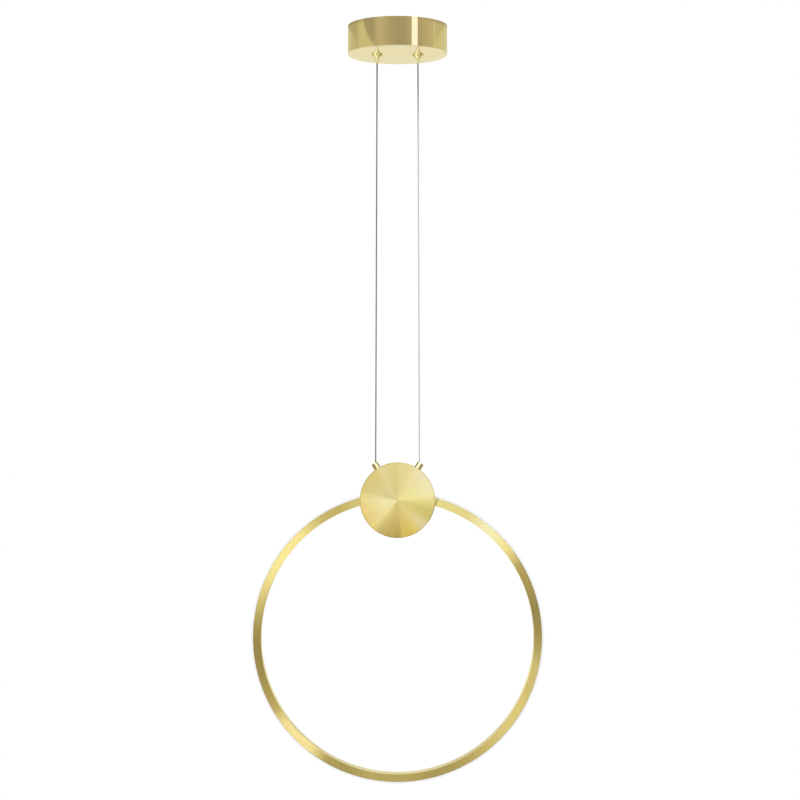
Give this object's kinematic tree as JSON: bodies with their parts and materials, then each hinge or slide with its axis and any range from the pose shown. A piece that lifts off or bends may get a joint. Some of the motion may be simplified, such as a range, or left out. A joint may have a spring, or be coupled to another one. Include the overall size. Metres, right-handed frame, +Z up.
{
  "type": "led pendant light",
  "caption": "Gilt LED ring hung from a polished ceiling canopy by two current-carrying wires, with a round brushed hub and a height set by wire grippers.",
  "frame": {"origin": "on the ceiling, at the centre of the mounting bracket's upper face and on the canopy's axis", "axes": "+Z up, against the pull of the pendant; the front of the ring faces -Y; +X to the right"},
  "size_m": [0.4, 0.136, 1.0374],
  "materials": {
    "polished_gold": "polished gilt plating",
    "spun_gold": "spun and brushed in circles, gold anodised",
    "brushed_gold": "brushed along the ring, gold anodised",
    "opal": "satin opal",
    "sheathed_wire": "stranded steel in a clear sheath",
    "bright_steel": "zinc plated",
    "tinned_brass": "tin plated",
    "joint_alloy": "as machined",
    "white_plastic": "moulded",
    "nylon": "moulded",
    "foam": "foam tape",
    "brown_lead": "insulated lead",
    "blue_lead": "insulated lead",
    "green_lead": "insulated lead",
    "red_lead": "insulated lead",
    "black_lead": "insulated lead",
    "circuit_board": "white solder mask",
    "phosphor": "phosphor gel"
  },
  "bodies": {
    "canopy": {"mounting_bracket": "bright_steel", "canopy_cup": "polished_gold", "canopy_screws": "bright_steel", "mains_terminal": "white_plastic", "terminal_screws": "bright_steel", "earth_tag": "tinned_brass", "earth_screw": "bright_steel", "led_driver": "white_plastic", "driver_pad": "foam", "live_lead": "brown_lead", "neutral_lead": "blue_lead", "earth_lead": "green_lead", "left_output_lead": "red_lead", "right_output_lead": "black_lead", "left_wire_splice": "tinned_brass", "right_wire_splice": "tinned_brass", "left_wire_tail": "sheathed_wire", "right_wire_tail": "sheathed_wire", "left_gripper_body": "polished_gold", "right_gripper_body": "polished_gold", "gripper_caps": "bright_steel", "gripper_nuts": "bright_steel", "left_grip_spring": "bright_steel", "right_grip_spring": "bright_steel"},
    "left_button": {"left_plunger": "polished_gold", "left_grip_balls": "bright_steel"},
    "right_button": {"right_plunger": "polished_gold", "right_grip_balls": "bright_steel"},
    "wires": {"left_wire": "sheathed_wire", "right_wire": "sheathed_wire"},
    "wire_ends": {"left_wire_ball": "bright_steel", "right_wire_ball": "bright_steel"},
    "pendant": {"hub_front_shell": "spun_gold", "hub_rear_shell": "spun_gold", "shell_screws": "bright_steel", "left_wire_fitting": "polished_gold", "right_wire_fitting": "polished_gold", "left_insulating_bush": "nylon", "right_insulating_bush": "nylon", "fitting_nuts": "bright_steel", "ring_channel": "brushed_gold", "ring_joint_bar": "joint_alloy", "joint_screws": "bright_steel", "outer_diffuser": "opal", "led_strip": "circuit_board", "led_chips": "phosphor", "connection_board": "circuit_board", "board_screws": "bright_steel", "lead_connector": "white_plastic", "left_contact_lead": "red_lead", "right_contact_lead": "black_lead", "positive_strip_lead": "red_lead", "negative_strip_lead": "black_lead"}
  },
  "joints": [
    {"name": "left_release", "type": "slide", "parent": "canopy", "child": "left_button", "axis": [0, 0, 1], "range_m": [0, 0.0015], "stiffness_N_per_m": 800, "springref_m": -0.0015, "deforming": ["left_grip_spring"]},
    {"name": "right_release", "type": "slide", "parent": "canopy", "child": "right_button", "axis": [0, 0, 1], "range_m": [0, 0.0015], "stiffness_N_per_m": 800, "springref_m": -0.0015, "deforming": ["right_grip_spring"]},
    {"name": "suspension_swing", "type": "hinge", "parent": "canopy", "child": "wires", "pos_m": [0, 0, -0.0525], "axis": [1, 0, 0], "range_deg": [-20, 20]},
    {"name": "height_adjust", "type": "slide", "parent": "wires", "child": "wire_ends", "axis": [0, 0, 1], "range_m": [0, 0.4], "deforming": ["left_wire", "right_wire"]},
    {"name": "pendant_tilt", "type": "hinge", "parent": "wire_ends", "child": "pendant", "pos_m": [0, 0, -0.60294], "axis": [1, 0, 0], "range_deg": [-20, 20]}
  ]
}
